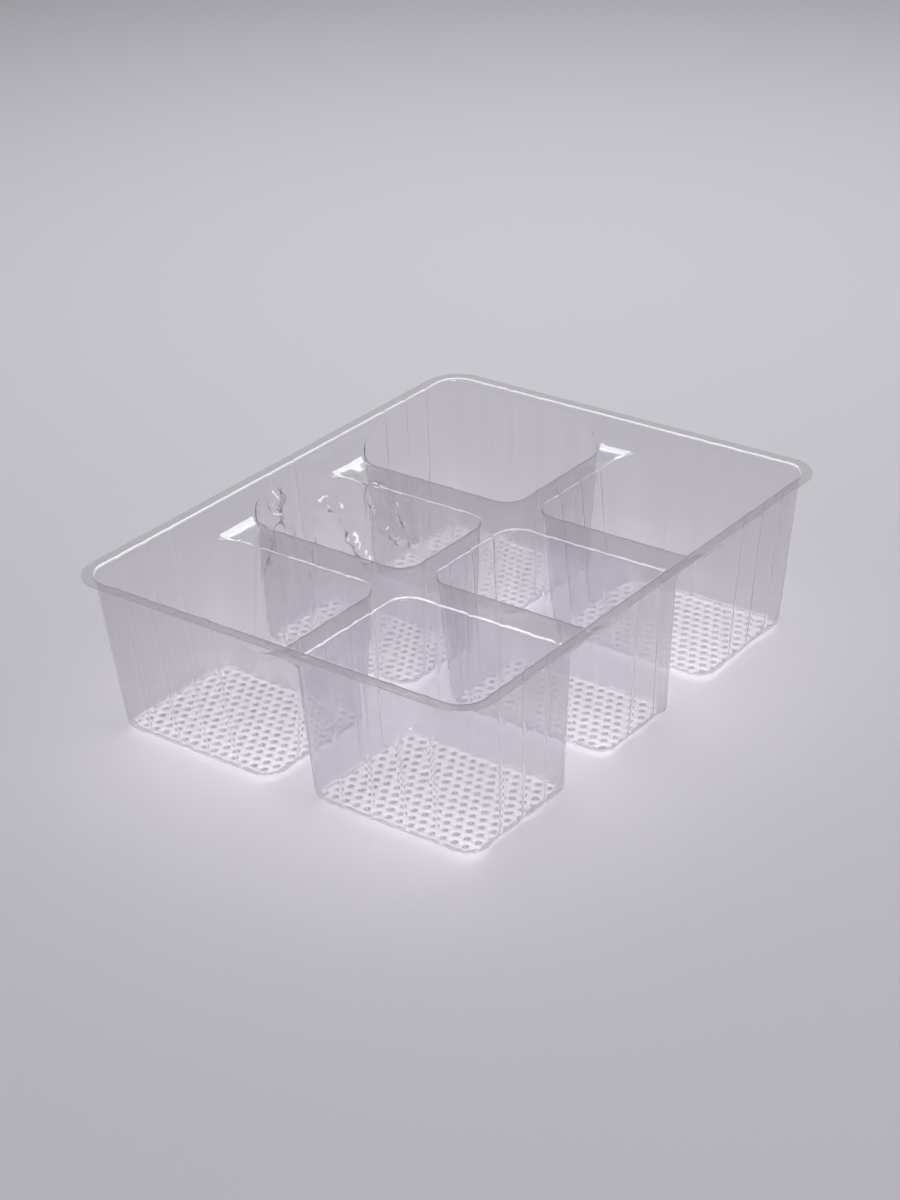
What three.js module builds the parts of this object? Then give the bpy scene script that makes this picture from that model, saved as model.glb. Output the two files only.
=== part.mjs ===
// A clear thermoformed food tray with six pockets. Millimetres, +Z up.
// The tray is one sheet, drawn down into two columns of three pockets. It stands on
// the undersides of its pockets, with its long side along Y and its centre over the origin.
import * as THREE from "three";

// Overall sizes
const trayWidth = 195; // across the flange, along X
const trayLength = 250; // across the flange, along Y
const trayHeight = 70; // from the surface it stands on to the top of the flange
const sheetThickness = 0.4;

// Flange and mouth
const flangeWidth = 5.5;
const mouthCornerRadius = 10;
const lipRadius = 1.5; // round between the flange and the walls

// Dividers between the pockets, measured across their flat tops
const dividerDrop = 12.5; // how far the dividers lie below the flange
const centreDividerWidth = 11; // between the two columns
const crossDividerWidth = 17; // between the rows
const middleRowLength = 56; // from one cross divider to the other
const dividerEdgeRadius = 1; // round between a divider and its pockets
const coveRadius = 9; // cove where a divider runs up into the outer wall

// Pockets
const sideDraft = 3.5; // degrees, the two long outer walls
const endDraft = 6; // degrees, the two short outer walls
const dividerDraft = 3.5; // degrees, the walls of the dividers
const innerCornerRadius = 9; // where two dividers meet
const flareRadius = 15; // where a divider meets the outer wall
const floorCornerRadius = 9; // all four corners, down at the floor
const floorEdgeRadius = 3.5; // round between the walls and the floor

// Upright stiffening ribs, which stand into the pockets
const ribPitch = 15;
const ribWidth = 3.6;
const ribDepth = 1;
const mostRibs = 4; // no wall of a pocket has more

// Smoothness of the round stretches
const arcSteps = 6; // segments in a pocket's corner, an even number

const floorZ = sheetThickness;
const deckZ = trayHeight - dividerDrop;
const tangent = (degrees) => Math.tan(THREE.MathUtils.degToRad(degrees));

// Distance of each kind of wall from the tray's middle planes, at height z
const sideWall = (z) => trayWidth / 2 - flangeWidth - (trayHeight - z) * tangent(sideDraft);
const endWall = (z) => trayLength / 2 - flangeWidth - (trayHeight - z) * tangent(endDraft);
const dividerSpread = (z) => (deckZ - z) * tangent(dividerDraft);
const centreDividerFace = (z) => centreDividerWidth / 2 + dividerSpread(z);
const middleRowFace = (z) => middleRowLength / 2 - dividerSpread(z);
const outerRowFace = (z) => middleRowLength / 2 + crossDividerWidth + dividerSpread(z);

// A pocket is named by its column, -1 or 1, and its row, -1, 0 or 1. Its sides run
// south, east, north, west, and a side is outer where the tray's own wall closes it.
function pocketSides(pocket) {
  return [
    { outer: pocket.row === -1, angle: -Math.PI / 2 },
    { outer: pocket.column === 1, angle: 0 },
    { outer: pocket.row === 1, angle: Math.PI / 2 },
    { outer: pocket.column === -1, angle: Math.PI },
  ];
}

function pocketLimits(pocket, z) {
  const near = centreDividerFace(z);
  const far = sideWall(z);
  const x = pocket.column === 1 ? [near, far] : [-far, -near];
  const rowEdges = {
    "-1": [-endWall(z), -outerRowFace(z)],
    0: [-middleRowFace(z), middleRowFace(z)],
    1: [outerRowFace(z), endWall(z)],
  };
  const y = rowEdges[pocket.row];
  return { x, y, centre: [(x[0] + x[1]) / 2, (y[0] + y[1]) / 2] };
}

function cornerRadius(before, after, z) {
  const outerSides = Number(before.outer) + Number(after.outer);
  const topRadius = [innerCornerRadius, flareRadius, mouthCornerRadius][outerSides];
  const topZ = outerSides === 2 ? trayHeight : deckZ;
  return THREE.MathUtils.lerp(floorCornerRadius, topRadius, (z - floorZ) / (topZ - floorZ));
}

// The straight stretch of one side, between its corners, at height z
function straightStretch(pocket, side, z) {
  const sides = pocketSides(pocket);
  const { x, y } = pocketLimits(pocket, z);
  const [low, high] = side % 2 === 0 ? x : y;
  const before = cornerRadius(sides[(side + 3) % 4], sides[side], z);
  const after = cornerRadius(sides[side], sides[(side + 1) % 4], z);
  const [lowCorner, highCorner] = side < 2 ? [before, after] : [after, before];
  const from = low + lowCorner;
  const to = high - highCorner;
  return { middle: (from + to) / 2, length: to - from };
}

// The middles of a side's ribs at height z, along the side. Their number is settled at the
// dividers' height, and lower down they close up as the side gets shorter.
function ribMiddles(pocket, side, z) {
  const above = straightStretch(pocket, side, deckZ);
  const here = straightStretch(pocket, side, z);
  const fitting = Math.floor((above.length - ribWidth) / ribPitch) + 1;
  const count = Math.min(mostRibs, Math.max(0, fitting));
  const pitch = (ribPitch * here.length) / above.length;
  const middles = [];
  for (let i = 0; i < count; i += 1) middles.push(here.middle + (i - (count - 1) / 2) * pitch);
  return side < 2 ? middles : middles.reverse();
}

// One level of a pocket's outline, anticlockwise from above. Each point has its outward
// direction, its share of a rib's depth, and whether it lies on a divider (1), on the
// outer wall (0) or in the corner between the two. In such a corner, fromWall is its
// distance from the outer wall as a share of the corner's radius. The middle of a corner
// between two dividers is marked.
function pocketOutline(pocket, z) {
  const points = [];
  for (let side = 0; side < 4; side += 1) {
    points.push(...ribPoints(pocket, side, z));
    points.push(...cornerPoints(pocket, side, z));
  }
  return startAtOuterWall(points);
}

function ribPoints(pocket, side, z) {
  const { outer, angle } = pocketSides(pocket)[side];
  const { x, y } = pocketLimits(pocket, z);
  const wall = [y[0], x[1], y[1], x[0]][side];
  const sense = side < 2 ? 1 : -1;
  const points = [];
  for (const middle of ribMiddles(pocket, side, z)) {
    for (const edge of [-0.5, 0, 0.5]) {
      const along = middle + sense * edge * ribWidth;
      points.push({
        x: side % 2 === 0 ? along : wall,
        y: side % 2 === 0 ? wall : along,
        normal: [Math.cos(angle), Math.sin(angle)],
        rib: edge === 0 ? 1 : 0,
        onDivider: outer ? 0 : 1,
        fromWall: outer ? 0 : 1,
        cornerMiddle: false,
      });
    }
  }
  return points;
}

// The corner that follows a side
function cornerPoints(pocket, side, z) {
  const sides = pocketSides(pocket);
  const limits = pocketLimits(pocket, z);
  const next = (side + 1) % 4;
  const radius = cornerRadius(sides[side], sides[next], z);
  const centreX = side < 2 ? limits.x[1] - radius : limits.x[0] + radius;
  const centreY = side === 1 || side === 2 ? limits.y[1] - radius : limits.y[0] + radius;
  const from = sides[side].outer ? 0 : 1;
  const to = sides[next].outer ? 0 : 1;
  const points = [];
  for (let step = 0; step <= arcSteps; step += 1) {
    const turn = step / arcSteps;
    const angle = sides[side].angle + (turn * Math.PI) / 2;
    const normal = [Math.cos(angle), Math.sin(angle)];
    const offWall = THREE.MathUtils.lerp(from, to, turn);
    points.push({
      x: centreX + radius * normal[0],
      y: centreY + radius * normal[1],
      normal,
      rib: 0,
      fromWall: from === to ? from : 1 - Math.cos((offWall * Math.PI) / 2),
      onDivider: THREE.MathUtils.lerp(from, to, THREE.MathUtils.smoothstep(turn, 0, 1)),
      cornerMiddle: from + to === 2 && step === arcSteps / 2,
    });
  }
  return points;
}

// Turns the list so that it starts where the outline first meets the outer wall
function startAtOuterWall(points) {
  const count = points.length;
  const isStart = (point, i) => point.onDivider === 0 && points[(i + count - 1) % count].onDivider > 0;
  const start = points.findIndex(isStart);
  return points.slice(start).concat(points.slice(0, start));
}

// The sheet's upper face, kept as shared vertices and triangles
const vertices = [];
const triangles = [];

function addVertex(x, y, z) {
  vertices.push(new THREE.Vector3(x, y, z));
  return vertices.length - 1;
}

// Joins two closed rings whose inside lies on their left, the lower or inner one first
function joinRings(lower, upper) {
  for (let i = 0; i < lower.length; i += 1) {
    const next = (i + 1) % lower.length;
    triangles.push([lower[i], upper[next], lower[next]]);
    triangles.push([lower[i], upper[i], upper[next]]);
  }
}

// Fills the ground between two lines that run the same way, one on the left and one
// on the right. Each step takes the shorter way across, and the lines may meet at their end.
function fillBetween(left, right) {
  const gap = (i, j) => vertices[left[i]].distanceTo(vertices[right[j]]);
  let i = 0;
  let j = 0;
  while (i < left.length - 1 || j < right.length - 1) {
    const leftEnds = i === left.length - 1;
    const rightEnds = j === right.length - 1;
    const stepRight = leftEnds || (!rightEnds && gap(i, j + 1) < gap(i + 1, j));
    const corner = stepRight ? right[j + 1] : left[i + 1];
    if (corner !== left[i] && corner !== right[j]) triangles.push([left[i], right[j], corner]);
    if (stepRight) j += 1;
    else i += 1;
  }
}

// One ring of a pocket, moved in by the inset
function pocketRing(pocket, { z, ribShare = 1, inset = 0 }) {
  return pocketOutline(pocket, z).map((point) => {
    const shift = -inset - ribShare * ribDepth * point.rib;
    return addVertex(point.x + shift * point.normal[0], point.y + shift * point.normal[1], z);
  });
}

// Moves the points of a pocket's outline from the dividers' height to heights of their own
function outlineAt(pocket, heights) {
  const below = pocketOutline(pocket, deckZ);
  const above = pocketOutline(pocket, trayHeight);
  return below.map((point, i) => {
    const z = heights(point);
    const share = (z - deckZ) / dividerDrop;
    const x = THREE.MathUtils.lerp(point.x, above[i].x, share);
    const y = THREE.MathUtils.lerp(point.y, above[i].y, share);
    return { ...point, x, y, z };
  });
}

// How far a divider's cove stands above the divider, at a distance from the outer wall
function coveHeight(distance) {
  const inward = Math.max(coveRadius - distance, 0);
  return coveRadius - Math.sqrt(coveRadius ** 2 - inward ** 2);
}

// The edge of a pocket's mouth: level along the dividers, and climbing the coves at their
// ends. It reaches the outer wall at the coves' top.
const mouthHeight = ({ fromWall }) => deckZ + coveHeight(flareRadius * fromWall);

// A ring at or near a pocket's mouth: drop is its depth below the mouth's edge, and outset
// how far it stands back from the pocket, which fades out toward the outer wall.
function mouthRing(pocket, { drop, outset }) {
  const heights = (point) => mouthHeight(point) - drop;
  return outlineAt(pocket, heights).map((point) => {
    const ribShare = point.onDivider === 0 || drop > 0 ? 1 : 0;
    const shift = outset * point.onDivider - ribShare * ribDepth * point.rib;
    const x = point.x + shift * point.normal[0];
    const y = point.y + shift * point.normal[1];
    return addVertex(x, y, point.z);
  });
}

// Makes a pocket's walls and floor, and gives back the ring at its mouth
function addPocket(pocket) {
  const roundTop = floorZ + floorEdgeRadius;
  const roundMiddle = floorEdgeRadius * (1 - Math.SQRT1_2);
  const rings = [
    mouthRing(pocket, { drop: 0, outset: dividerEdgeRadius }),
    mouthRing(pocket, { drop: dividerEdgeRadius, outset: 0 }),
    pocketRing(pocket, { z: deckZ - coveRadius / 2 }),
    pocketRing(pocket, { z: roundTop }),
    pocketRing(pocket, { z: floorZ + roundMiddle, ribShare: 0.3, inset: roundMiddle }),
    pocketRing(pocket, { z: floorZ, ribShare: 0, inset: floorEdgeRadius }),
  ];
  for (let i = 1; i < rings.length; i += 1) joinRings(rings[i], rings[i - 1]);
  const floorRing = rings[rings.length - 1];
  const { centre } = pocketLimits(pocket, floorZ);
  const middle = addVertex(centre[0], centre[1], floorZ);
  floorRing.forEach((vertex, i) => {
    triangles.push([middle, vertex, floorRing[(i + 1) % floorRing.length]]);
  });
  return rings[0];
}

// The pockets in order round the outer wall, anticlockwise from above
const pockets = [
  { column: 1, row: -1 },
  { column: 1, row: 0 },
  { column: 1, row: 1 },
  { column: -1, row: 1 },
  { column: -1, row: 0 },
  { column: -1, row: -1 },
];

const outerPart = (pocket, z) => pocketOutline(pocket, z).filter((point) => point.onDivider === 0);

// The outer wall all the way round, where the dividers' ends are straight stretches
function outerRing(z, { ribShare = 1, outset = 0 }) {
  return pockets.flatMap((pocket) => outerPart(pocket, z)).map((point) => {
    const shift = outset - ribShare * ribDepth * point.rib;
    return addVertex(point.x + shift * point.normal[0], point.y + shift * point.normal[1], z);
  });
}

// Parts a pocket's mouth into the stretch on the outer wall, the stretches that lead off
// it and back to it along the dividers, and what lies between those
function mouthStretches(pocket, mouth) {
  const outline = pocketOutline(pocket, deckZ);
  const wallEnd = outerPart(pocket, deckZ).length - 1;
  const first = outline.findIndex((point) => point.cornerMiddle);
  const last = outline.findLastIndex((point) => point.cornerMiddle);
  return {
    wall: mouth.slice(0, wallEnd + 1),
    leading: mouth.slice(wallEnd, first + 1),
    between: mouth.slice(first, last + 1),
    returning: [...mouth.slice(last), mouth[0]],
  };
}

// The flat tops of the dividers with the coves at their ends, which lie straight across
// from one pocket's edge to the next. Gives back the ring where the outer wall goes on.
function addDeck(mouths) {
  const stretches = pockets.map((pocket, i) => mouthStretches(pocket, mouths[i]));
  stretches.forEach((right, i) => {
    const left = stretches[(i + 1) % pockets.length];
    fillBetween(left.returning, [...right.leading].reverse());
  });
  const [frontRight, middleRight, backRight, backLeft, middleLeft, frontLeft] = stretches;
  const eastEdge = [...middleRight.between].reverse();
  fillBetween(middleLeft.between, eastEdge);
  const crossings = [
    [frontLeft.between[0], frontRight.between[0], eastEdge[0], middleLeft.between[0]],
    [middleLeft.between.at(-1), eastEdge.at(-1), backRight.between[0], backLeft.between[0]],
  ];
  for (const [a, b, c, d] of crossings) triangles.push([a, b, c], [a, c, d]);
  return stretches.flatMap((stretch) => stretch.wall);
}

// The outer wall above the dividers and the flange. Gives back the flange's outer edge.
function addOuterWall(foot) {
  const rings = [
    foot,
    outerRing(trayHeight - lipRadius, {}),
    outerRing(trayHeight, { ribShare: 0.5, outset: lipRadius }),
    outerRing(trayHeight, { ribShare: 0, outset: flangeWidth }),
  ];
  for (let i = 1; i < rings.length; i += 1) joinRings(rings[i - 1], rings[i]);
  return rings[rings.length - 1];
}

// The mean direction of the faces round each vertex, by their angles there
function vertexDirections() {
  const rounds = vertices.map(() => ({ sum: new THREE.Vector3(), faces: [] }));
  for (const corners of triangles) {
    const [a, b, c] = corners.map((index) => vertices[index]);
    const normal = new THREE.Triangle(a, b, c).getNormal(new THREE.Vector3());
    corners.forEach((index, i) => {
      const toNext = vertices[corners[(i + 1) % 3]].clone().sub(vertices[index]);
      const toLast = vertices[corners[(i + 2) % 3]].clone().sub(vertices[index]);
      const angle = toNext.angleTo(toLast);
      rounds[index].sum.addScaledVector(normal, angle);
      rounds[index].faces.push({ normal, angle });
    });
  }
  return rounds.map(({ sum, faces }) => ({ mean: sum.clone().normalize(), faces }));
}

// Moves each vertex off the upper face by the sheet's thickness, a little more at a bend,
// so that level stretches have a level underside
function lowerFace() {
  return vertexDirections().map(({ mean, faces }, index) => {
    const level = faces.some(({ normal }) => normal.z > 0.9999);
    const angles = faces.reduce((total, { angle }) => total + angle, 0);
    const lean = faces.reduce((total, face) => total + face.angle * face.normal.dot(mean), 0);
    const reach = level && mean.z > 0.6 ? mean.z : lean / angles;
    return vertices[index].clone().addScaledVector(mean, -sheetThickness / reach);
  });
}

function trayGeometry() {
  const foot = addDeck(pockets.map(addPocket));
  const flangeEdge = addOuterWall(foot);
  const lower = lowerFace();
  const count = vertices.length;
  const index = [];
  for (const [a, b, c] of triangles) index.push(a, b, c, count + a, count + c, count + b);
  flangeEdge.forEach((top, i) => {
    const nextTop = flangeEdge[(i + 1) % flangeEdge.length];
    index.push(count + top, count + nextTop, nextTop);
    index.push(count + top, nextTop, top);
  });
  const geometry = new THREE.BufferGeometry();
  geometry.setFromPoints([...vertices, ...lower]);
  geometry.setIndex(index);
  geometry.computeVertexNormals();
  return geometry;
}

const clearPlastic = new THREE.MeshStandardMaterial({
  color: 0xd9d6e0,
  roughness: 0.08,
  metalness: 0,
  transparent: true,
  opacity: 0.3,
  side: THREE.DoubleSide,
});

const tray = new THREE.Mesh(trayGeometry(), clearPlastic);
tray.name = "tray";

const part = new THREE.Group();
part.add(tray);
export default part;
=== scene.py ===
import math

import bpy
import numpy as np
from mathutils import Matrix, Vector, geometry, noise


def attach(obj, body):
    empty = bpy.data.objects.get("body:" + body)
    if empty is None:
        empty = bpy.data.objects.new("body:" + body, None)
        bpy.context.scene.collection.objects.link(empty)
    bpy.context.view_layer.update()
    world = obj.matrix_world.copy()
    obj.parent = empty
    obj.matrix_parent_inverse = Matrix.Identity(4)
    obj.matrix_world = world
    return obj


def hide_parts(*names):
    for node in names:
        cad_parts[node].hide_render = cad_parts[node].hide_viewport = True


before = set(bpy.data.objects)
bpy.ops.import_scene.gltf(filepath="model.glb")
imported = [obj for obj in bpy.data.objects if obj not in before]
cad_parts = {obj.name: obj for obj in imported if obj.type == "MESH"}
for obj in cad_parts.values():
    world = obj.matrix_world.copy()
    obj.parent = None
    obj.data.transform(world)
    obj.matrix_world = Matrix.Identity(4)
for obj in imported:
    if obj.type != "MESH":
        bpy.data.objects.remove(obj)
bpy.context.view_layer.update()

MM_PER_METRE = 1000

# The CAD part's sizes, in millimetres and degrees
TRAY_WIDTH = 195.0
TRAY_LENGTH = 250.0
TRAY_HEIGHT = 70.0
SHEET = 0.4
FLANGE_WIDTH = 5.5
MOUTH_CORNER = 10.0
LIP_RADIUS = 1.5
DIVIDER_DROP = 12.5
CENTRE_DIVIDER = 11.0
CROSS_DIVIDER = 17.0
MIDDLE_ROW = 56.0
DIVIDER_EDGE = 1.0
COVE_RADIUS = 9.0
FLARE_RADIUS = 15.0
SIDE_DRAFT = 3.5
END_DRAFT = 6.0
DIVIDER_DRAFT = 3.5
INNER_CORNER = 9.0
FLOOR_CORNER = 9.0
FLOOR_EDGE = 3.5
RIB_PITCH = 15.0
MOST_RIBS = 4

# The ribs are round here, and wider and shallower than the CAD part's. These shares of them
# are left at a divider's edge and at the lip
RIB_WIDTH = 4.4
RIB_DEPTH = 0.6
EDGE_RIB_SHARE = 0.5
LIP_RIB_SHARE = 0.5

# Keeps the cove's slope finite where it meets the wall
LEAST_SQUARE = 1e-6

FLOOR_Z = SHEET
DECK_Z = TRAY_HEIGHT - DIVIDER_DROP

# How finely the sheet is drawn. The crumpled pocket has the fine counts
ARC_STEPS = 8
RIB_POINTS = 7
GAP_POINTS = 2
FINE_GAP_POINTS = 8
END_STEPS = 16
EDGE_STEPS = 3
MOUTH_STEPS = 6
WALL_STEPS = 7
FINE_WALL_STEPS = 28
FLOOR_ROUND_STEPS = 4

# A pocket's mouth is drawn down to a level ring this far below the dividers
MOUTH_DEPTH = 4.0

# The lip's rings, by the turn of its round in degrees. The one in its middle is painted
# white, as a painted highlight along the lip
LIP_TURNS = (22.5, 45, 67.5, 90)
LIP_HIGHLIGHT_TURN = 45
LIP_HIGHLIGHT_WHITENESS = 0.8

# The flange's rings: how far out each lies, and the share of the ribs that is left there
FLANGE_RINGS = ((2.6, 0.1), (4.4, 0.0), (5.3, 0.0), (FLANGE_WIDTH, 0.0))

# The grid of points over the dividers, which keeps clear of their edges
DECK_GRID = 2.6
DECK_GRID_REACH = (96, 122)
DECK_CLEARANCE = 1.0

# The embossed net on the pocket floors. A pit is flat out to its inner radius and has risen
# to the net at its outer one
PIT_PITCH = 5.1
PIT_ROWS = 4.6
PIT_INNER = 0.75
PIT_OUTER = 2.1
NET_HEIGHT = 0.8

# Points round a pit, as rings of radius, count and turn, and points on the net beside it, as
# shares of the two pitches. All lie within this share of a floor
PIT_RINGS = ((PIT_INNER, 6, 0.0), (1.6, 7, 0.13))
NET_PLACES = ((0.5, 0), (0.25, 0.5), (-0.25, 0.5))
FLOOR_SHARE = 0.985

# What fills a loop with triangles: only those inside it, and points this close are one
FILL_INSIDE = 1
FILL_TOLERANCE = 1e-7

# The lower face lies a sheet's thickness off the upper one, and so further than that along
# the mean direction at a bend. Bends that lean more than this are taken to lean this much
LEAST_LEAN = 0.6

# Edges sharper than this many degrees stay sharp in the shading
SHARP_ANGLE = 50


def tangent(degrees):
    return math.tan(math.radians(degrees))


def lerp(a, b, t):
    return a + (b - a) * t


def smooth(t):
    """Eases a share between 0 and 1 at both its ends."""
    return t * t * (3 - 2 * t)


# The pockets. Walls are given by their distance from the tray's middle planes at height z

def side_wall(z):
    return TRAY_WIDTH / 2 - FLANGE_WIDTH - (TRAY_HEIGHT - z) * tangent(SIDE_DRAFT)


def end_wall(z):
    return TRAY_LENGTH / 2 - FLANGE_WIDTH - (TRAY_HEIGHT - z) * tangent(END_DRAFT)


def divider_spread(z):
    return (DECK_Z - z) * tangent(DIVIDER_DRAFT)


# A pocket is (column, row), and they go round the tray. Its sides run south, east, north,
# west, and face these ways
POCKETS = [(1, -1), (1, 0), (1, 1), (-1, 1), (-1, 0), (-1, -1)]
ANGLES = [-math.pi / 2, 0.0, math.pi / 2, math.pi]
CRUMPLED = (-1, 0)


def outer_sides(pocket):
    """Which sides are the tray's outer wall."""
    column, row = pocket
    return [row == -1, column == 1, row == 1, column == -1]


def limits(pocket, z):
    """How far a pocket reaches at height z, in x and in y."""
    column, row = pocket
    near = CENTRE_DIVIDER / 2 + divider_spread(z)
    far = side_wall(z)
    x = (near, far) if column == 1 else (-far, -near)
    middle = MIDDLE_ROW / 2 - divider_spread(z)
    outer = MIDDLE_ROW / 2 + CROSS_DIVIDER + divider_spread(z)
    y = {-1: (-end_wall(z), -outer), 0: (-middle, middle), 1: (outer, end_wall(z))}[row]
    return x, y


def corner_radius(before, after, z):
    """A corner's radius at height z, by how many of its two sides are outer ones."""
    count = int(before) + int(after)
    top = [INNER_CORNER, FLARE_RADIUS, MOUTH_CORNER][count]
    top_z = TRAY_HEIGHT if count == 2 else DECK_Z
    return lerp(FLOOR_CORNER, top, (z - FLOOR_Z) / (top_z - FLOOR_Z))


def stretch(pocket, side, z):
    """A side's stretch between its corners, each of them taken at its own radius."""
    outer = outer_sides(pocket)
    low, high = limits(pocket, z)[side % 2]
    before = corner_radius(outer[(side + 3) % 4], outer[side], z)
    after = corner_radius(outer[side], outer[(side + 1) % 4], z)
    if side >= 2:
        before, after = after, before
    return low + before, high - after


def rib_middles(pocket, side, z):
    top_low, top_high = stretch(pocket, side, DECK_Z)
    low, high = stretch(pocket, side, z)
    fitting = int((top_high - top_low - RIB_WIDTH) // RIB_PITCH) + 1
    count = min(MOST_RIBS, max(0, fitting))
    pitch = RIB_PITCH * (high - low) / (top_high - top_low)
    middle = (low + high) / 2
    return [middle + (i - (count - 1) / 2) * pitch for i in range(count)]


# The columns of an outline's points: place, outward direction, share of a rib, whether on a
# divider, and how far it stands off the outer wall, as a share of the flare's radius
X, Y, OUT_X, OUT_Y, RIB, ON_DIVIDER, OFF_WALL = range(7)


def side_marks(pocket, side, z):
    """Where a side has its points, and the share of a rib at each."""
    low, high = stretch(pocket, side, z)
    gaps = FINE_GAP_POINTS if pocket == CRUMPLED else GAP_POINTS
    marks = []
    start = low
    for middle in rib_middles(pocket, side, z) + [None]:
        end = high if middle is None else middle - RIB_WIDTH / 2
        marks += [(along, 0.0) for along in np.linspace(start, end, gaps + 2)[1:-1]]
        if middle is not None:
            for t in np.linspace(-1, 1, RIB_POINTS):
                marks.append((middle + t * RIB_WIDTH / 2, math.cos(math.pi * t / 2) ** 2))
            start = middle + RIB_WIDTH / 2
    return marks[::-1] if side >= 2 else marks


def side_points(pocket, side, z):
    x, y = limits(pocket, z)
    wall = [y[0], x[1], y[1], x[0]][side]
    normal = (round(math.cos(ANGLES[side])), round(math.sin(ANGLES[side])))
    on_divider = 0.0 if outer_sides(pocket)[side] else 1.0
    points = []
    for along, rib in side_marks(pocket, side, z):
        place = (along, wall) if side % 2 == 0 else (wall, along)
        points.append((*place, *normal, rib, on_divider, on_divider))
    return points


def corner_points(pocket, side, z):
    """The round from a side to the next one."""
    outer = outer_sides(pocket)
    x, y = limits(pocket, z)
    after = (side + 1) % 4
    radius = corner_radius(outer[side], outer[after], z)
    centre_x = x[1] - radius if side < 2 else x[0] + radius
    centre_y = y[1] - radius if side in (1, 2) else y[0] + radius
    start = 0.0 if outer[side] else 1.0
    end = 0.0 if outer[after] else 1.0
    points = []
    for step in range(ARC_STEPS + 1):
        turn = step / ARC_STEPS
        angle = ANGLES[side] + turn * math.pi / 2
        nx, ny = math.cos(angle), math.sin(angle)
        place = (centre_x + radius * nx, centre_y + radius * ny)
        on_divider = lerp(start, end, smooth(turn))
        off_wall = start
        if start != end:
            off_wall = 1 - math.cos(math.pi / 2 * lerp(start, end, turn))
        points.append((*place, nx, ny, 0.0, on_divider, off_wall))
    return points


def outline(pocket, z):
    """A pocket's outline at height z. Its points on the outer wall come first."""
    points = []
    for side in range(4):
        points += side_points(pocket, side, z)
        points += corner_points(pocket, side, z)
    start = next(i for i in range(len(points))
                 if points[i][ON_DIVIDER] == 0 and points[i - 1][ON_DIVIDER] > 0)
    return np.array(points[start:] + points[:start])


def on_wall(ring):
    """Which points of an outline are on the outer wall."""
    return ring[:, ON_DIVIDER] == 0


# The sheet's upper face, as it grows: its vertices, its faces, which faces are embossed, and
# the vertices of the line along the lip that is painted white as a highlight
vertices = []
faces = []
embossed = set()
lip_highlight_line = []


def add_ring(points):
    first = len(vertices)
    vertices.extend(map(tuple, points))
    return list(range(first, len(vertices)))


def join_rings(lower, upper):
    count = len(lower)
    for i in range(count):
        after = (i + 1) % count
        faces.append((lower[i], upper[i], upper[after], lower[after]))


def fill(boundary, flat_boundary, inside, place):
    """Fills a loop of vertices by way of the inside points, both laid out flat. place turns
    a flat point into one of the sheet."""
    count = len(boundary)
    flat = [Vector(p) for p in (*flat_boundary, *inside)]
    edges = [(i, (i + 1) % count) for i in range(count)]
    spots, _, triangles, sources, _, _ = geometry.delaunay_2d_cdt(
        flat, edges, [], FILL_INSIDE, FILL_TOLERANCE)
    index = []
    for spot, source in zip(spots, sources):
        if source and source[0] < count:
            index.append(boundary[source[0]])
        else:
            index.append(len(vertices))
            vertices.append(place(spot.x, spot.y))
    for a, b, c in triangles:
        if (spots[b] - spots[a]).cross(spots[c] - spots[a]) <= 0:
            b, c = c, b
        faces.append((index[a], index[b], index[c]))


def inside_loop(points, loop):
    """Which of the points lie inside a closed loop."""
    x, y = points[:, 0], points[:, 1]
    hit = np.zeros(len(points), bool)
    ax, ay = loop[:, 0], loop[:, 1]
    bx, by = np.roll(ax, -1), np.roll(ay, -1)
    for i in range(len(loop)):
        crosses = (ay[i] > y) != (by[i] > y)
        with np.errstate(divide="ignore", invalid="ignore"):
            at = (bx[i] - ax[i]) * (y - ay[i]) / (by[i] - ay[i]) + ax[i]
        hit ^= crosses & (x < at)
    return hit


def moved(ring, z, rib_share, shift):
    """A ring's points at height z, moved outward by shift and inward by the ribs."""
    move = shift - rib_share * RIB_DEPTH * ring[:, RIB]
    x = ring[:, X] + move * ring[:, OUT_X]
    y = ring[:, Y] + move * ring[:, OUT_Y]
    return np.column_stack([x, y, np.broadcast_to(z, len(ring))])


def pocket_ring(pocket, z, rib_share, shift, lift=0.0):
    """One ring of a pocket. Each of z, rib_share, shift and lift may differ from point to
    point."""
    at_deck = outline(pocket, DECK_Z)
    rise = (outline(pocket, TRAY_HEIGHT) - at_deck) / (TRAY_HEIGHT - DECK_Z)
    z = np.broadcast_to(np.asarray(z, float), len(at_deck))
    return moved(at_deck + rise * (z - DECK_Z)[:, None], z + lift, rib_share, shift)


# Embossed floors

def net_height(x, y):
    """How high the embossed net stands at a place on a floor: nothing in a pit."""
    row = y / PIT_ROWS
    nearest = np.full(np.shape(x), np.inf)
    for base in (np.floor(row), np.floor(row) + 1):
        shift = np.mod(base, 2) * 0.5
        column = np.round(x / PIT_PITCH - shift) + shift
        distance = np.hypot(x - column * PIT_PITCH, y - base * PIT_ROWS)
        nearest = np.minimum(nearest, distance)
    return NET_HEIGHT * smooth(np.clip((nearest - PIT_INNER) / (PIT_OUTER - PIT_INNER), 0, 1))


def floor_place(x, y):
    return x, y, FLOOR_Z + float(net_height(x, y))


def pit_points(x, y):
    """A pit's own points and those on the net beside it."""
    points = [(x, y)]
    for radius, count, turn in PIT_RINGS:
        for i in range(count):
            angle = 2 * math.pi * i / count + turn
            points.append((x + radius * math.cos(angle), y + radius * math.sin(angle)))
    for across, along in NET_PLACES:
        points.append((x + across * PIT_PITCH, y + along * PIT_ROWS))
    return points


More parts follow.
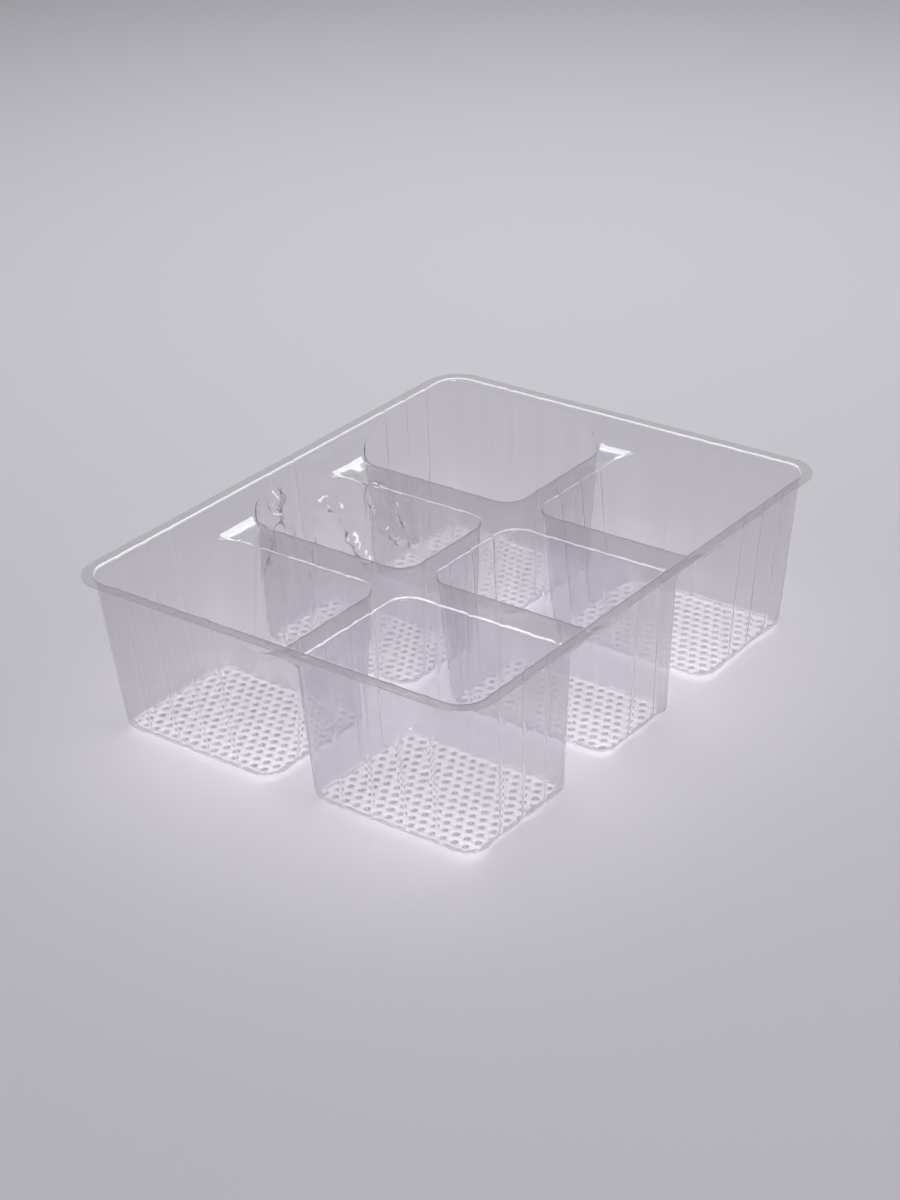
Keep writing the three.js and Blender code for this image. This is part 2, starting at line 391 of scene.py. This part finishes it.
def floor_points(loop):
    """Points over a floor that follow its pits and the net between them."""
    low, high = loop.min(0), loop.max(0)
    points = []
    for row in range(int(low[1] // PIT_ROWS) - 1, int(high[1] // PIT_ROWS) + 3):
        shift = (row % 2) * 0.5
        for column in range(int(low[0] // PIT_PITCH) - 1, int(high[0] // PIT_PITCH) + 3):
            points += pit_points((column + shift) * PIT_PITCH, row * PIT_ROWS)
    points = np.array(points)
    middle = loop.mean(0)
    return points[inside_loop(points, middle + (loop - middle) * FLOOR_SHARE)]


# Pockets, from the mouth down

def cove_height(distance):
    """How high a divider's cove stands at a distance from the outer wall."""
    inward = max(COVE_RADIUS - distance, 0.0)
    return COVE_RADIUS - math.sqrt(COVE_RADIUS**2 - inward**2)


def mouth_rings(pocket, foot_z):
    """The top of a pocket: the edge of the dividers, which climbs the coves to the outer wall,
    its round, and the walls below it down to a level foot."""
    ring = outline(pocket, DECK_Z)
    on_divider = ring[:, ON_DIVIDER]
    off_wall = ring[:, OFF_WALL]
    edge = np.array([DECK_Z + cove_height(FLARE_RADIUS * off) for off in off_wall])
    radius = DIVIDER_EDGE * on_divider
    # Where the edge climbs a cove, its round leans back along the cove's slope
    inward = np.clip(1 - off_wall, 0.0, 1.0)
    slope = inward**2 / np.sqrt(np.maximum(1 - inward**2, LEAST_SQUARE))
    length = np.hypot(1.0, slope)
    rings = []
    for step in range(MOUTH_STEPS):
        turn = min(step, EDGE_STEPS) * math.pi / (2 * EDGE_STEPS)
        below = max(step - EDGE_STEPS, 0) / (MOUTH_STEPS - EDGE_STEPS)
        rounded = lerp(edge - radius * (1 - math.cos(turn)), foot_z, below)
        even = lerp(edge, foot_z, step / MOUTH_STEPS)
        z = lerp(even, rounded, on_divider)
        reach = radius * (1 - math.sin(turn))
        share = np.where(on_divider > 0, lerp(EDGE_RIB_SHARE, 1.0, math.sin(turn)), 1.0)
        rings.append(pocket_ring(pocket, z, share, reach / length, reach * slope / length))
    return rings


def floor_round_rings(pocket):
    """The round between a pocket's walls and its floor, where the net fades in."""
    rings = []
    for step in range(1, FLOOR_ROUND_STEPS + 1):
        turn = math.pi / 2 * step / FLOOR_ROUND_STEPS
        z = FLOOR_Z + FLOOR_EDGE * (1 - math.sin(turn))
        inset = FLOOR_EDGE * (1 - math.cos(turn))
        ring = pocket_ring(pocket, z, math.cos(turn) ** 2, -inset)
        ring[:, 2] += net_height(ring[:, 0], ring[:, 1]) * math.sin(turn) ** 4
        rings.append(ring)
    return rings


def add_pocket(pocket):
    """Adds a pocket, and gives the vertices of its mouth."""
    foot_z = DECK_Z - MOUTH_DEPTH
    rings = mouth_rings(pocket, foot_z)
    steps = FINE_WALL_STEPS if pocket == CRUMPLED else WALL_STEPS
    for z in np.linspace(foot_z, FLOOR_Z + FLOOR_EDGE, steps + 1):
        rings.append(pocket_ring(pocket, z, 1.0, 0.0))
    rings += floor_round_rings(pocket)
    loop = rings[-1][:, :2]
    indexed = [add_ring(ring) for ring in rings]
    for upper, lower in zip(indexed, indexed[1:]):
        join_rings(lower, upper)
    first = len(faces)
    fill(indexed[-1], loop, floor_points(loop), floor_place)
    embossed.update(range(first, len(faces)))
    return indexed[0]


# The dividers and the coves at their ends, laid out flat to be filled

def unroll(value, wall):
    """A place on the dividers, laid out flat: the coves at their ends are rolled out level."""
    distance = wall - abs(value)
    if distance >= COVE_RADIUS:
        return value
    turn = math.acos(min(max(1 - distance / COVE_RADIUS, 0.0), 1.0))
    return math.copysign(wall - COVE_RADIUS + COVE_RADIUS * (math.pi / 2 - turn), value)


def roll_up(value, wall):
    """The reverse of unroll: distance from the outer wall, and height above the dividers."""
    past = abs(value) - (wall - COVE_RADIUS)
    if past <= 0:
        return wall - abs(value), 0.0
    turn = math.pi / 2 - past / COVE_RADIUS
    return COVE_RADIUS * (1 - math.cos(turn)), COVE_RADIUS * (1 - math.sin(turn))


def deck_place(u, v):
    """A point of the dividers or their coves, from its place in the flat layout."""
    across, rise = roll_up(u, side_wall(DECK_Z))
    along, climb = roll_up(v, end_wall(DECK_Z))
    z = DECK_Z + rise + climb
    x = math.copysign(side_wall(DECK_Z + rise) - across, u)
    y = math.copysign(end_wall(DECK_Z + climb) - along, v)
    return x, y, z


def deck_layout(point):
    """The flat layout's place for a vertex on the edge of the dividers or of their coves."""
    x, y, z = point
    shift_x = math.copysign(side_wall(z) - side_wall(DECK_Z), x)
    shift_y = math.copysign(end_wall(z) - end_wall(DECK_Z), y)
    if abs(x) > side_wall(z) - COVE_RADIUS:
        return unroll(x - shift_x, side_wall(DECK_Z)), y
    if abs(y) > end_wall(z) - COVE_RADIUS:
        return x, unroll(y - shift_y, end_wall(DECK_Z))
    return x, y


def add_deck(edge):
    """Fills the space between the pockets' mouths, out to the tops of the coves."""
    loop = np.array([deck_layout(vertices[i]) for i in edge])
    columns, rows = (np.arange(-reach, reach, DECK_GRID) for reach in DECK_GRID_REACH)
    grid = np.array([(x, y) for x in columns for y in rows])
    off_edge = np.array([np.min(np.hypot(*(loop - p).T)) for p in grid])
    fill(edge, loop, grid[inside_loop(grid, loop) & (off_edge > DECK_CLEARANCE)], deck_place)


# The outer wall above the pockets, the lip and the flange

def divider_ends(z):
    """The straight stretches of the outer wall between one pocket and the next."""
    ends = []
    for i, pocket in enumerate(POCKETS):
        here = outline(pocket, z)
        after = outline(POCKETS[(i + 1) % len(POCKETS)], z)
        start = here[on_wall(here)][-1]
        end = after[on_wall(after)][0]
        points = start + (end - start) * np.linspace(0, 1, END_STEPS + 1)[1:-1, None]
        points[:, [OUT_X, OUT_Y]] = start[[OUT_X, OUT_Y]]
        ends.append(points)
    return ends


def outer_ring(z, rib_share, outset):
    """One level of the outer wall, all round the tray."""
    parts = []
    for pocket, end in zip(POCKETS, divider_ends(z)):
        ring = outline(pocket, z)
        parts += [ring[on_wall(ring)], end]
    return moved(np.vstack(parts), z, rib_share, outset)


def add_rim(foot):
    """Adds the outer wall above its foot, the lip and the flange, and gives the flange's
    outer edge."""
    rings = [foot]
    for turn in LIP_TURNS:
        angle = math.radians(turn)
        z = TRAY_HEIGHT - LIP_RADIUS * (1 - math.sin(angle))
        outset = LIP_RADIUS * (1 - math.cos(angle))
        rings.append(add_ring(outer_ring(z, lerp(1.0, LIP_RIB_SHARE, turn / 90), outset)))
        # This ring is the lip's line that is painted white as a highlight
        if turn == LIP_HIGHLIGHT_TURN:
            lip_highlight_line.extend(rings[-1])
    for outset, share in FLANGE_RINGS:
        rings.append(add_ring(outer_ring(TRAY_HEIGHT, share, outset)))
    for lower, upper in zip(rings, rings[1:]):
        join_rings(lower, upper)
    return rings[-1]


def add_upper_face():
    """Adds the sheet's whole upper face, and gives the vertices of its outer edge."""
    mouths = [add_pocket(pocket) for pocket in POCKETS]
    cove_top = DECK_Z + COVE_RADIUS
    ends = [add_ring([(p[X], p[Y], cove_top) for p in end]) for end in divider_ends(cove_top)]
    foot = []
    deck = []
    for pocket, mouth, end in zip(POCKETS, mouths, ends):
        wall_count = int(on_wall(outline(pocket, DECK_Z)).sum())
        foot += mouth[:wall_count] + end
        deck += [mouth[0]] + mouth[:wall_count - 2:-1] + end
    add_deck(deck)
    return add_rim(foot)


def vertex_directions(points):
    """The mean direction of the faces round each vertex, and how far they lean from it."""
    triangles = []
    for face in faces:
        triangles.append(face[:3])
        if len(face) == 4:
            triangles.append((face[0], face[2], face[3]))
    triangles = np.array(triangles)
    corners = points[triangles]
    normal = np.cross(corners[:, 1] - corners[:, 0], corners[:, 2] - corners[:, 0])
    normal /= np.linalg.norm(normal, axis=1, keepdims=True)
    total = np.zeros_like(points)
    weight = np.zeros(len(points))
    angles = []
    for i in range(3):
        a = corners[:, (i + 1) % 3] - corners[:, i]
        b = corners[:, (i + 2) % 3] - corners[:, i]
        cosine = (a * b).sum(1) / np.linalg.norm(a, axis=1) / np.linalg.norm(b, axis=1)
        angle = np.arccos(np.clip(cosine, -1, 1))
        angles.append(angle)
        np.add.at(total, triangles[:, i], normal * angle[:, None])
        np.add.at(weight, triangles[:, i], angle)
    mean = total / np.linalg.norm(total, axis=1, keepdims=True)
    lean = np.zeros(len(points))
    for i in range(3):
        at = triangles[:, i]
        np.add.at(lean, at, angles[i] * (normal * mean[at]).sum(1))
    return mean, np.clip(lean / weight, LEAST_LEAN, 1.0)


# The crumples of the photographed tray: a line over the sheet, how far it stands up, how
# wide it is, and how white it is painted: a painted highlight standing in for the glints on
# its folds
CRUMPLES = [
    ([(-87, 8, 20), (-87.5, 15, 34), (-87, 21, 46)], 4.4, 2.6, 0.35),
    ([(-87, 21, 46), (-82, 26.5, 40), (-76, 26, 30), (-68, 26, 22)], 4.4, 2.6, 0.35),
    ([(-65, 27.5, 58), (-67, 27, 50), (-62, 26.5, 42), (-52, 26.3, 37)], 4.2, 2.6, 0.4),
    ([(-80, 36, 57.5), (-72, 30, 57.5), (-64, 29, 57.5)], -1.0, 2.4, 0.2),
    ([(-90, -20, 34), (-90.5, -12, 48), (-91, -6, 60)], 4.0, 2.5, 0.3),
    ([(-90.5, -14, 58), (-90, -5, 44), (-89, 1, 40)], 2.6, 2.2, 0.3),
    ([(-56, 26.5, 54), (-47, 26.5, 45), (-44, 26, 36)], 3.0, 2.2, 0.3),
    ([(-80, -27.5, 56), (-76, -27, 46), (-70, -26.5, 38)], 1.4, 2.2, 0.3),
    # These three low ridges along the right pockets' floor edges are mainly painted glints,
    # painted white
    ([(87.6, -77, 2.2), (87.2, -90, 1.4), (87.4, -101, 2.0)], 0.5, 1.6, 1.0),
    ([(87.6, -16, 2.0), (87.2, -4, 1.4), (87.6, 12, 2.2)], 0.5, 1.5, 0.9),
    ([(87.4, 64, 1.8), (87.0, 80, 1.4), (87.6, 92, 2.2)], 0.5, 1.5, 0.8),
]

# How much a crumple's height wanders, how quickly, and out to how many widths
WANDER = 0.8
WANDER_SCALE = 0.2
WANDER_WIDTHS = 3


def distance_to_line(points, line):
    nearest = np.full(len(points), np.inf)
    for a, b in zip(line, line[1:]):
        along = np.clip((points - a) @ (b - a) / ((b - a) @ (b - a)), 0, 1)
        off = points - a - along[:, None] * (b - a)
        nearest = np.minimum(nearest, np.linalg.norm(off, axis=1))
    return nearest


def crumple_shape(points):
    """How far the crumples lift each point off the sheet's even shape, and its painted
    highlight.
    """
    height = np.zeros(len(points))
    highlight_paint = np.zeros(len(points))
    for line, rise, width, highlight_whiteness in CRUMPLES:
        nearest = distance_to_line(points, np.array(line, float))
        wander = np.ones(len(points))
        for i in np.flatnonzero(nearest < WANDER_WIDTHS * width):
            wander[i] += WANDER * noise.noise(Vector(points[i]) * WANDER_SCALE)
        bell = wander * np.exp(-(nearest / width) ** 2)
        height += rise * bell
        highlight_paint = np.maximum(highlight_paint, highlight_whiteness * bell)
    return height, np.clip(highlight_paint, 0, 1)


# The sheet's finishes, by the number of their material
PLAIN, EMBOSSED, CUT_EDGE = range(3)


def sheet_faces(edge, count):
    """The upper faces, the lower ones under them, and the strip round the cut edge, with the
    finish of each. The lower face's vertices come count after the upper one's."""
    lower = [tuple(count + i for i in reversed(face)) for face in faces]
    strip = []
    for i, top in enumerate(edge):
        after = edge[(i + 1) % len(edge)]
        strip.append((count + top, count + after, after, top))
    side = np.full(len(faces), PLAIN, np.int32)
    side[sorted(embossed)] = EMBOSSED
    cut = np.full(len(strip), CUT_EDGE, np.int32)
    return faces + lower + strip, np.concatenate([side, side, cut])


def make_sheet():
    edge = add_upper_face()
    upper = np.array(vertices)
    directions, _ = vertex_directions(upper)
    # The crumples' whiteness is a painted highlight, standing in for glints on their folds
    height, highlight_paint = crumple_shape(upper)
    upper += directions * height[:, None]
    # The lip's middle ring is painted white, a painted highlight
    highlight_paint[lip_highlight_line] = LIP_HIGHLIGHT_WHITENESS
    directions, lean = vertex_directions(upper)
    lower = upper - directions * (SHEET / lean)[:, None]
    lower[:, 2] = np.clip(lower[:, 2], 0.0, TRAY_HEIGHT - SHEET)
    points = np.vstack([upper, lower]) / MM_PER_METRE
    all_faces, finishes = sheet_faces(edge, len(upper))
    mesh = bpy.data.meshes.new("tray_sheet")
    mesh.from_pydata(points.tolist(), [], all_faces)
    mesh.polygons.foreach_set("material_index", finishes)
    # An attribute of painted highlights: white along the crumples and the lip's middle ring
    painted_highlight = mesh.attributes.new("painted_highlight", "FLOAT", "POINT")
    painted_highlight.data.foreach_set("value", np.concatenate([highlight_paint, highlight_paint]))
    mesh.shade_smooth()
    mesh.set_sharp_from_angle(angle=math.radians(SHARP_ANGLE))
    sheet = bpy.data.objects.new("tray_sheet", mesh)
    bpy.context.scene.collection.objects.link(sheet)
    return sheet


# Clear plastic. Heights above the ground are in metres
REFRACTION = 1.57
HAZE_SCALE = 60
HAZE_DETAIL = 3
RIPPLE_SCALE = 130
RIPPLE_DETAIL = 2
RIPPLE_STRETCH = (1, 1, 0.06)
RIPPLE_HEIGHT = 0.0004

# The attribute of painted highlights turns the sheet white between these two values, down to
# this clearness
HIGHLIGHT_PAINT_START_AND_END = (0.15, 0.75)
HIGHLIGHT_PAINT_CLEARNESS = 0.2

# The embossed floors turn from a clear pit, tinted darker as painted shade, to milky net
# between these heights, and from the pit's polish to the net's frost between those
MILKY_HEIGHTS = (0.0005, 0.0010)
FROST_HEIGHTS = (0.0005, 0.0009)
# Painted shade: the pits' tint, darker than the sheet's own colour
PIT_PAINTED_SHADE_COLOUR = (0.56, 0.54, 0.60)
PIT_CLEARNESS = 0.97
PIT_ROUGHNESS = 0.06


def map_range(material, value, source, target, easing="SMOOTHSTEP"):
    """A node that carries a value from one range to another."""
    node = material.node_tree.nodes.new("ShaderNodeMapRange")
    node.interpolation_type = easing
    names = ("From Min", "From Max", "To Min", "To Max")
    for name, number in zip(names, (*source, *target)):
        node.inputs[name].default_value = number
    material.node_tree.links.new(value, node.inputs["Value"])
    return node


def object_place(material):
    return material.node_tree.nodes.new("ShaderNodeTexCoord").outputs["Object"]


def by_height(material, heights, target):
    """A value that runs from one end to the other between two heights above the ground."""
    split = material.node_tree.nodes.new("ShaderNodeSeparateXYZ")
    material.node_tree.links.new(object_place(material), split.inputs["Vector"])
    return map_range(material, split.outputs["Z"], heights, target).outputs["Result"]


def noise_pattern(material, place, scale, detail):
    texture = material.node_tree.nodes.new("ShaderNodeTexNoise")
    texture.inputs["Scale"].default_value = scale
    texture.inputs["Detail"].default_value = detail
    material.node_tree.links.new(place, texture.inputs["Vector"])
    return texture.outputs["Fac"]


def add_haze(material, plastic, roughness):
    """Uneven roughness between its least and most. Gives the node that spreads it."""
    haze = noise_pattern(material, object_place(material), HAZE_SCALE, HAZE_DETAIL)
    rough = map_range(material, haze, (0, 1), roughness, "LINEAR")
    material.node_tree.links.new(rough.outputs["Result"], plastic.inputs["Roughness"])
    return rough


def add_ripple(material, plastic, strength):
    """Faint upright waves, as drawing the hot sheet leaves in it."""
    nodes = material.node_tree.nodes
    links = material.node_tree.links
    drawn = nodes.new("ShaderNodeMapping")
    drawn.inputs["Scale"].default_value = RIPPLE_STRETCH
    links.new(object_place(material), drawn.inputs["Vector"])
    bump = nodes.new("ShaderNodeBump")
    bump.inputs["Strength"].default_value = strength
    bump.inputs["Distance"].default_value = RIPPLE_HEIGHT
    ripple = noise_pattern(material, drawn.outputs["Vector"], RIPPLE_SCALE, RIPPLE_DETAIL)
    links.new(ripple, bump.inputs["Height"])
    links.new(bump.outputs["Normal"], plastic.inputs["Normal"])


def plastic_base(name, colour, roughness, ripple, passing):
    """Plastic that lets the lamps' light pass into its shadow in the passing colour. Gives
    its material, its shader and the node that spreads its roughness."""
    material = bpy.data.materials.new(name)
    material.use_nodes = True
    nodes = material.node_tree.nodes
    links = material.node_tree.links
    nodes.clear()
    output = nodes.new("ShaderNodeOutputMaterial")
    plastic = nodes.new("ShaderNodeBsdfPrincipled")
    plastic.inputs["Base Color"].default_value = (*colour, 1)
    plastic.inputs["IOR"].default_value = REFRACTION
    rough = add_haze(material, plastic, roughness)
    add_ripple(material, plastic, ripple)
    through = nodes.new("ShaderNodeBsdfTransparent")
    through.inputs["Color"].default_value = (*passing, 1)
    path = nodes.new("ShaderNodeLightPath")
    mix = nodes.new("ShaderNodeMixShader")
    links.new(path.outputs["Is Shadow Ray"], mix.inputs["Fac"])
    links.new(plastic.outputs["BSDF"], mix.inputs[1])
    links.new(through.outputs["BSDF"], mix.inputs[2])
    links.new(mix.outputs["Shader"], output.inputs["Surface"])
    return material, plastic, rough


def sheet_plastic(name, colour, clearness, **look):
    """Clear sheet that turns white where highlights are painted along its creases and lip."""
    material, plastic, _ = plastic_base(name, colour, **look)
    # Reads the painted highlights and makes the sheet whiter and less clear there
    painted_highlight = material.node_tree.nodes.new("ShaderNodeAttribute")
    painted_highlight.attribute_name = "painted_highlight"
    whiten = map_range(material, painted_highlight.outputs["Fac"], HIGHLIGHT_PAINT_START_AND_END,
                       (clearness, HIGHLIGHT_PAINT_CLEARNESS))
    material.node_tree.links.new(whiten.outputs["Result"],
                                 plastic.inputs["Transmission Weight"])
    return material


def embossed_plastic(name, colour, clearness, roughness, **look):
    """Milky net with clear pits, tinted darker as painted shade."""
    material, plastic, rough = plastic_base(name, colour, roughness, **look)
    links = material.node_tree.links
    milky = by_height(material, MILKY_HEIGHTS, (PIT_CLEARNESS, clearness))
    links.new(milky, plastic.inputs["Transmission Weight"])
    # The pits' painted shade, fading to the sheet's own colour up the net
    painted_pit_shade = material.node_tree.nodes.new("ShaderNodeValToRGB")
    painted_pit_shade.color_ramp.elements[0].color = (*PIT_PAINTED_SHADE_COLOUR, 1)
    painted_pit_shade.color_ramp.elements[1].color = (*colour, 1)
    links.new(by_height(material, MILKY_HEIGHTS, (0, 1)), painted_pit_shade.inputs["Fac"])
    links.new(painted_pit_shade.outputs["Color"], plastic.inputs["Base Color"])
    frost = by_height(material, FROST_HEIGHTS, (PIT_ROUGHNESS, roughness[0]))
    links.new(frost, rough.inputs["To Min"])
    return material


def sheet_materials():
    """The finishes' materials, in the order of their numbers."""
    return [
        sheet_plastic("clear_plastic", colour=(0.885, 0.87, 0.89), clearness=0.97,
                      roughness=(0.02, 0.06), ripple=0.25, passing=(0.92, 0.92, 0.93)),
        embossed_plastic("embossed_plastic", colour=(0.94, 0.925, 0.94), clearness=0.38,
                         roughness=(0.2, 0.3), ripple=0.2, passing=(0.88, 0.875, 0.89)),
        sheet_plastic("cut_edge", colour=(0.90, 0.94, 0.93), clearness=0.2,
                      roughness=(0.15, 0.3), ripple=0.3, passing=(0.8, 0.84, 0.84)),
    ]


# The pale floor, in metres. It lies just under the tray
FLOOR_REACH = 4.0
FLOOR_LEVEL = -0.0002
FLOOR_COLOUR = (0.62, 0.60, 0.645)
FLOOR_ROUGHNESS = 0.9
FLOOR_SHINE = 0.1


def floor_material():
    material = bpy.data.materials.new("pale_floor")
    material.use_nodes = True
    shader = material.node_tree.nodes["Principled BSDF"]
    shader.inputs["Base Color"].default_value = (*FLOOR_COLOUR, 1)
    shader.inputs["Roughness"].default_value = FLOOR_ROUGHNESS
    shader.inputs["Specular IOR Level"].default_value = FLOOR_SHINE
    return material


def make_floor():
    mesh = bpy.data.meshes.new("floor")
    signs = [(-1, -1), (1, -1), (1, 1), (-1, 1)]
    corners = [(x * FLOOR_REACH, y * FLOOR_REACH, FLOOR_LEVEL) for x, y in signs]
    mesh.from_pydata(corners, [], [(0, 1, 2, 3)])
    floor = bpy.data.objects.new("floor", mesh)
    bpy.context.scene.collection.objects.link(floor)
    mesh.materials.append(floor_material())


# Lamps: place and aim, the width of their square panel, all in metres, and watts
LAMPS = {
    "key": ((-0.30, 0.50, 1.05), (0, 0, 0.03), 0.95, 10.5),
    "fill": ((1.0, -0.9, 1.0), (0, 0, 0), 0.6, 6),
}
SURROUND_COLOUR = (0.93, 0.93, 1.0)
SURROUND_STRENGTH = 0.20


def add_lamp(name, place, aim, width, power):
    light = bpy.data.lights.new(name, "AREA")
    light.shape = "RECTANGLE"
    light.size = light.size_y = width
    light.energy = power
    lamp = bpy.data.objects.new(name, light)
    lamp.location = place
    direction = Vector(aim) - Vector(place)
    lamp.rotation_euler = direction.to_track_quat("-Z", "Y").to_euler()
    bpy.context.scene.collection.objects.link(lamp)


def make_light():
    for name, lamp in LAMPS.items():
        add_lamp(name, *lamp)
    world = bpy.data.worlds.new("studio")
    world.use_nodes = True
    background = world.node_tree.nodes["Background"]
    background.inputs["Color"].default_value = (*SURROUND_COLOUR, 1)
    background.inputs["Strength"].default_value = SURROUND_STRENGTH
    bpy.context.scene.world = world


# The photograph's view, worked out from the tray's own edges: angles in radians, the
# camera's place back, across and up from the tray in units of this many metres, and the
# lens in millimetres
CAMERA_AZIMUTH = 0.65134
CAMERA_ELEVATION = 0.48104
CAMERA_ROLL = -0.0294
CAMERA_UNIT = 0.092
CAMERA_BACK = 11.576
CAMERA_ACROSS = -0.05641
CAMERA_UP = 0.32681
SENSOR_HEIGHT = 36
LENS = 77.33
NEAREST_SEEN = 0.01


def make_camera():
    level = math.cos(CAMERA_ELEVATION)
    back = Vector((math.sin(CAMERA_AZIMUTH) * level, -math.cos(CAMERA_AZIMUTH) * level,
                   math.sin(CAMERA_ELEVATION)))
    right = Vector((math.cos(CAMERA_AZIMUTH), math.sin(CAMERA_AZIMUTH), 0))
    up = back.cross(right)
    across = right * math.cos(CAMERA_ROLL) + up * math.sin(CAMERA_ROLL)
    rise = up * math.cos(CAMERA_ROLL) - right * math.sin(CAMERA_ROLL)
    place = (back * CAMERA_BACK + across * CAMERA_ACROSS + rise * CAMERA_UP) * CAMERA_UNIT
    data = bpy.data.cameras.new("camera")
    data.sensor_fit = "VERTICAL"
    data.sensor_height = SENSOR_HEIGHT
    data.lens = LENS
    data.clip_start = NEAREST_SEEN
    camera = bpy.data.objects.new("camera", data)
    turn = Matrix((across, rise, back)).transposed().to_4x4()
    camera.matrix_world = Matrix.Translation(place) @ turn
    bpy.context.scene.collection.objects.link(camera)
    bpy.context.scene.camera = camera


def let_light_through():
    """Enough bounces for light to cross many layers of clear sheet."""
    cycles = bpy.context.scene.cycles
    cycles.max_bounces = 24
    cycles.transmission_bounces = 24
    cycles.transparent_max_bounces = 32
    cycles.glossy_bounces = 8


sheet = make_sheet()
for material in sheet_materials():
    sheet.data.materials.append(material)
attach(sheet, "root")
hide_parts("tray")
make_floor()
make_light()
make_camera()
let_light_through()
bpy.context.scene.view_settings.view_transform = "Standard"
